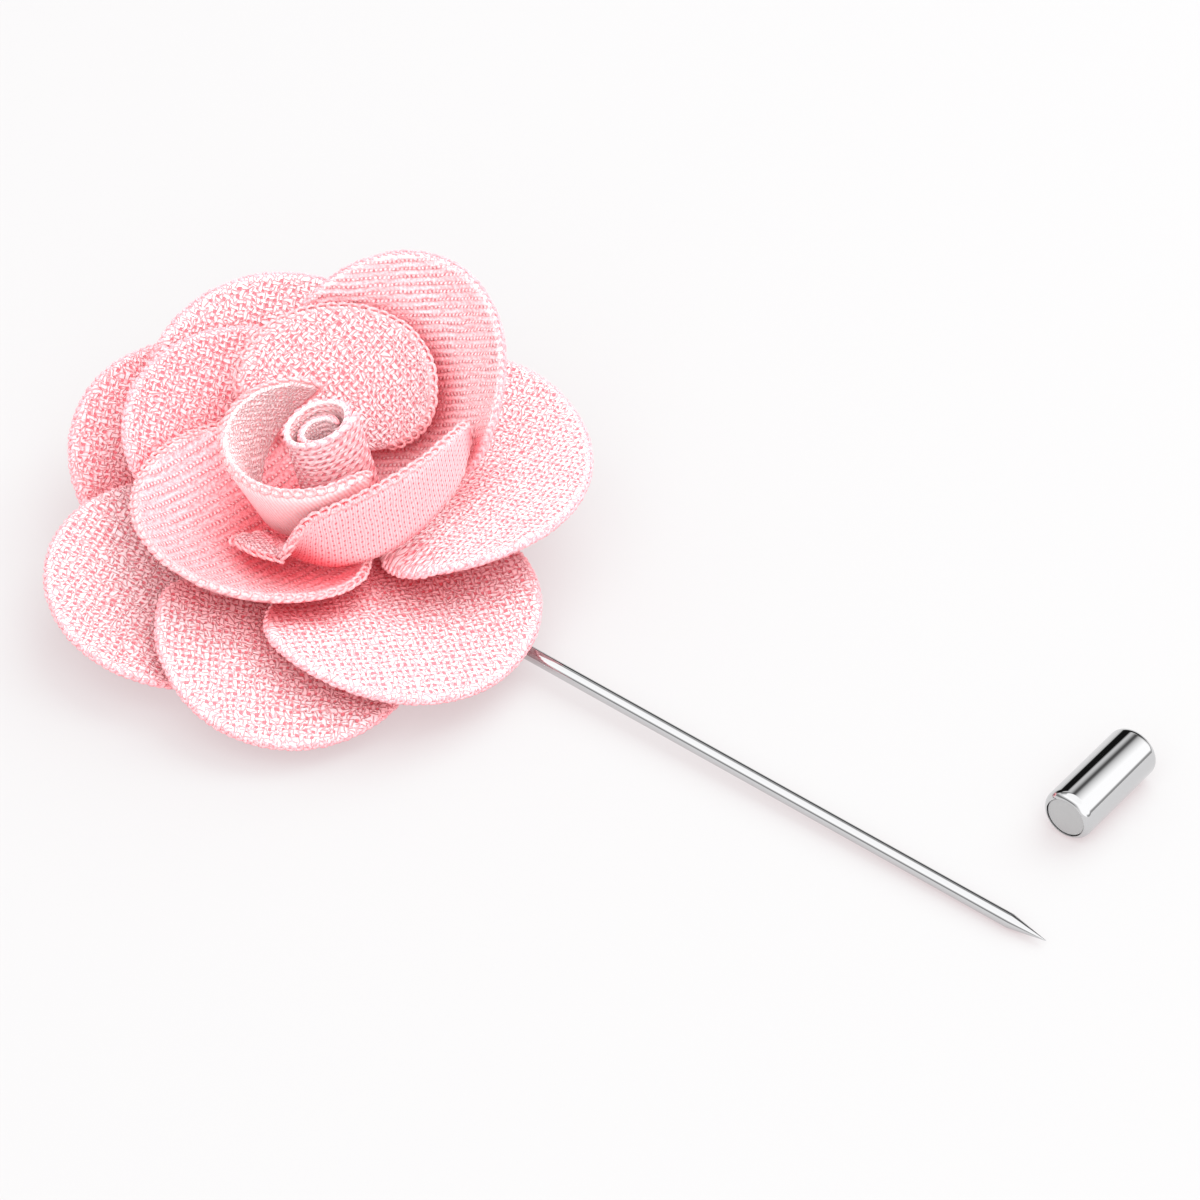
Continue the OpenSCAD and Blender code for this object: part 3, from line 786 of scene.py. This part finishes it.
def addBud():
    turns = budTurns(bud)
    length = 2 * math.pi * turns * (bud["core"] + turns * bud["pitch"] / 2)
    along, up = round(length / bud["fineAlong"]), round(bud["height"] / bud["fineUp"])
    f, v = np.meshgrid(np.linspace(0, 1, along + 1), np.linspace(0, 1, up + 1), indexing="ij")
    middle, normal, _, _ = surfaceFrame(budSurface, bud, f, v)
    flat = np.stack([f * length, v * bud["height"]], -1)
    fall = np.clip((v * bud["height"] - bud["height"] + bud["hemBand"]) / bud["hemBand"], 0, 1)
    thick = bud["wall"] / 2 * np.sqrt(1 - cloth["hemThinner"] * fall ** 2)
    thick = thick - bud["ribDepth"] * (1 - ribRelief(bud, flat[..., 0], flat[..., 1])) * (1 - fall)
    front, back = middle + normal * thick[..., None], middle - normal * thick[..., None]
    index = np.arange(f.size).reshape(f.shape)
    rim = rimOf(index)
    nextRim = np.roll(rim, -1)
    quads = np.concatenate([netFaces(index), netFaces(index + f.size)[:, ::-1],
                            np.stack([rim, rim + f.size, nextRim + f.size, nextRim], -1)])
    points = np.concatenate([front.reshape(-1, 3), back.reshape(-1, 3)])
    piece = meshFromArrays("bud_cloth", points, quads)
    setMap(piece, np.concatenate([flat.reshape(-1, 2)] * 2))
    # painted shade: the roll is painted darker towards its foot, on the outside and in
    outside = bud["outsidePaintedShade"] * (1 - v) ** bud["outsideFade"]
    inside = bud["leastPaintedShade"] + bud["insidePaintedShade"] * (1 - v) ** bud["insideFade"]
    setAmount(piece, "fold", outside, inside)
    setAmount(piece, "hem", fall, fall)
    piece.data.materials.append(ribMaterial("budKnit", bud))
    # the inside in the paler yarn, painted light where the roll lies in shade
    piece.data.materials.append(ribMaterial("budInsidePaintedLight", {**bud, "tone": "pale"}))
    sides = np.ones(len(piece.data.polygons), np.int32)
    sides[:netFaces(index).shape[0]] = 0
    piece.data.polygons.foreach_set("material_index", sides)
    chain = edgeChains["bound"]
    count = int(length / chain["pitch"])
    f = (np.arange(count) + 0.5) / count
    place, normal, along, up = surfaceFrame(budSurface, bud, f, np.ones(count))
    place = place - up * bud["edgeDrop"] + normal * bud["edgeOut"]
    edge = chainMesh("bud_edge", chain, place, along, up, normal, 13)
    edge.data.materials.append(edgeYarns["bound"])
    for obj in (piece, edge):
        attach(obj, "root")
    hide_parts("bud")


addBud()
print("bud is rolled")


# metal: the stick pin and the push-on cap, turned round their own lines
pin = {"width": 1.2, "reach": 68.6, "point": 3.2, "tail": 3, "lift": 0.4, "padWidth": 14, "padThick": 1.0,
       "padRound": 0.3, "beadWidth": 2, "beadOver": 0.3, "beadRound": 0.3, "solderWidth": 1.4,
       "tipWidth": 0.05, "shoulderLong": 0.1, "shoulderDeep": 0.01, "steps": 96}
cap = {"width": 4.3, "length": 9.8, "round": 0.7, "discWidth": 3.3, "discThick": 0.6, "seatAir": 0.05,
       "discInset": 0.15, "discEdge": 0.04, "bore": 1.4, "boreDeep": 7, "boreEdge": 0.1,
       "place": (62.9, 15.2), "turn": 91, "roundSteps": 16, "steps": 128}


def turnedPiece(name, profile, steps):
    # spins a line of (radius, height) points, which starts and ends on the axis, into a solid
    mesh = bpy.data.meshes.new(name)
    points = [(r * mm, 0, z * mm) for r, z in profile]
    mesh.from_pydata(points, [(i, i + 1) for i in range(len(points) - 1)], [])
    obj = bpy.data.objects.new(name, mesh)
    bpy.context.scene.collection.objects.link(obj)
    bpy.ops.object.select_all(action="DESELECT")
    obj.select_set(True)
    bpy.context.view_layer.objects.active = obj
    bpy.ops.object.mode_set(mode="EDIT")
    bpy.ops.mesh.select_all(action="SELECT")
    bpy.ops.mesh.spin(steps=steps, angle=2 * math.pi, center=(0, 0, 0), axis=(0, 0, 1))
    bpy.ops.mesh.select_all(action="SELECT")
    bpy.ops.mesh.remove_doubles(threshold=0.000001)
    bpy.ops.mesh.normals_make_consistent(inside=False)
    bpy.ops.object.mode_set(mode="OBJECT")
    bpy.ops.object.shade_smooth_by_angle(angle=math.radians(30))
    return obj


def laidDown(obj, turn, place):
    # from upright at the origin to its place, which ends up in the mesh
    obj.rotation_euler = (0, math.pi / 2 + turn[0], turn[1])
    obj.location = Vector(place) * mm
    bpy.ops.object.select_all(action="DESELECT")
    obj.select_set(True)
    bpy.context.view_layer.objects.active = obj
    bpy.ops.object.transform_apply(location=True, rotation=True, scale=True)
    return obj


def corner(radius, centre, start, steps=8):
    # a quarter round, from the angle start on
    angles = [start + math.pi / 2 * k / steps for k in range(steps + 1)]
    return [(centre[0] + radius * math.cos(a), centre[1] + radius * math.sin(a)) for a in angles]


def addPin():
    axisHeight = pin["padThick"] + pin["lift"] + pin["width"] / 2
    shoulder = pin["reach"] - pin["point"]
    fall = math.atan((axisHeight - pin["width"] / 2) / shoulder)
    r, tail = pin["width"] / 2, pin["tail"]
    profile = [(0, -tail), (r, -tail), (r, shoulder - pin["shoulderLong"]),
               (r - pin["shoulderDeep"], shoulder), (pin["tipWidth"] / 2, pin["reach"]), (0, pin["reach"])]
    needle = turnedPiece("pin_metal", profile, pin["steps"])
    laidDown(needle, (fall, 0), (0, 0, axisHeight))
    b, out, soft = pin["beadWidth"] / 2, pin["padWidth"] / 2 + pin["beadOver"], pin["beadRound"]
    bead = turnedPiece("bead", [(0, -tail)] + corner(soft, (b - soft, -tail + soft), -math.pi / 2)
                       + corner(soft, (b - soft, out - soft), 0) + [(0, out)], pin["steps"])
    laidDown(bead, (fall, 0), (0, 0, axisHeight))
    edge, thick = pin["padRound"], pin["padThick"]
    width = pin["padWidth"] / 2
    pad = turnedPiece("pad", [(0, 0)] + corner(edge, (width - edge, edge), -math.pi / 2)
                      + corner(edge, (width - edge, thick - edge), 0) + [(0, thick)], pin["steps"])
    # the solder under the bead, from the middle of the pad's thickness up
    long, high = tail + width - edge, thick / 2 + pin["lift"]
    bpy.ops.mesh.primitive_cube_add(size=1, location=((long / 2 - tail) * mm, 0,
                                                      (thick / 2 + high / 2) * mm))
    solder = bpy.context.object
    solder.scale = (long * mm, pin["solderWidth"] * mm, high * mm)
    bpy.ops.object.transform_apply(location=True, rotation=True, scale=True)
    bpy.ops.object.select_all(action="DESELECT")
    for obj in (needle, bead, pad, solder):
        obj.select_set(True)
    bpy.context.view_layer.objects.active = needle
    bpy.ops.object.join()
    return needle


def addCap():
    r, length, edge = cap["width"] / 2, cap["length"], cap["round"]
    seat = cap["discWidth"] / 2 + cap["seatAir"]
    deep = cap["discInset"] + cap["discThick"] + cap["seatAir"]
    # the part of the mouth's round that the disc's seat leaves
    mouth = corner(edge, (r - edge, edge), -math.pi / 2, cap["roundSteps"])
    mouth = [p for p in mouth if p[0] > seat + cap["seatAir"] / 2]
    lip = edge - math.sqrt(edge ** 2 - (seat - r + edge) ** 2)
    bore, inner = cap["bore"] / 2, length - cap["boreDeep"]
    profile = ([(0, deep), (seat, deep), (seat, lip)] + mouth
               + corner(edge, (r - edge, length - edge), 0, cap["roundSteps"])
               + [(bore + cap["boreEdge"], length), (bore, length - cap["boreEdge"]), (bore, inner),
                  (0, inner)])
    shell = turnedPiece("cap_metal", profile, cap["steps"])
    low, high, wide = cap["discInset"], cap["discInset"] + cap["discThick"], cap["discWidth"] / 2
    profile = [(0, low), (wide - cap["discEdge"], low), (wide, low + cap["discEdge"]), (wide, high),
               (0, high)]
    disc = turnedPiece("cap_disc_metal", profile, cap["steps"])
    turn = math.radians(cap["turn"])
    x, y = cap["place"]
    foot = (x - length / 2 * math.cos(turn), y - length / 2 * math.sin(turn), r)
    for obj in (shell, disc):
        laidDown(obj, (0, turn), foot)
    return shell, disc


# the metals' finishes: the patches of haze and grain are so many to a metre, about 1.1 mm across on
# the chrome and 0.25 mm on the disc
metals = {"chrome": {"colour": "#cfcfd0", "metallic": 1.0, "scale": 900.0, "detail": 3.0},
          "disc": {"colour": "#c0c0c0", "metallic": 0.7, "scale": 4000.0, "detail": 2.0}}


def metalMaterial(name, metal, roughness):
    # roughness is the least and the most of it, from patch to patch
    material, tree, shader = newMaterial(name)
    place = addNode(tree, "TexCoord")
    patches = addNode(tree, "TexNoise", {"Scale": metal["scale"], "Detail": metal["detail"]},
                      {"Vector": place.outputs["Object"]})
    rough = addNode(tree, "MapRange", {3: roughness[0], 4: roughness[1]}, {0: patches.outputs["Fac"]})
    tree.links.new(rough.outputs[0], shader.inputs["Roughness"])
    shader.inputs["Base Color"].default_value = hexToLinear(metal["colour"])
    shader.inputs["Metallic"].default_value = metal["metallic"]
    return material


def chromeMaterial(name, roughness):
    # Chrome plate on steel, barrel polished: a clear mirror with a very faint haze.
    return metalMaterial(name, metals["chrome"], (roughness * 0.6, roughness * 1.6))


def discMaterial():
    # Stamped steel disc, matt: even pale grey.
    return metalMaterial("stampedSteelDisc", metals["disc"], (0.4, 0.6))


def finishMetal(obj, node, material):
    obj.data.materials.append(material)
    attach(obj, "root")
    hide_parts(node)


finishMetal(addPin(), "pin", chromeMaterial("polishedChromeNeedle", 0.04))
capShell, capDisc = addCap()
finishMetal(capShell, "cap", chromeMaterial("polishedChromeCap", 0.03))
finishMetal(capDisc, "cap_disc", discMaterial())
print("metal is finished")

# heart: the wad of cloth that the petals are sewn into, on top of the bead of solder
heart = {"width": 10.6, "foot": 2.9, "top": 5.8, "round": 0.8, "place": (-0.4, 0.4), "steps": 64}


def addHeart():
    r, edge = heart["width"] / 2 - heart["round"], heart["round"]
    profile = ([(0, heart["foot"])] + corner(edge, (r, heart["foot"] + edge), -math.pi / 2)
               + corner(edge, (r, heart["top"] - edge), 0) + [(0, heart["top"])])
    wad = turnedPiece("sewn_heart", profile, heart["steps"])
    laidDown(wad, (-math.pi / 2, 0), (*heart["place"], 0))
    wad.data.materials.append(edgeMaterial("heartCloth", edgeYarn["heart"]))
    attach(wad, "root")


addHeart()
print("sewn heart is in place")
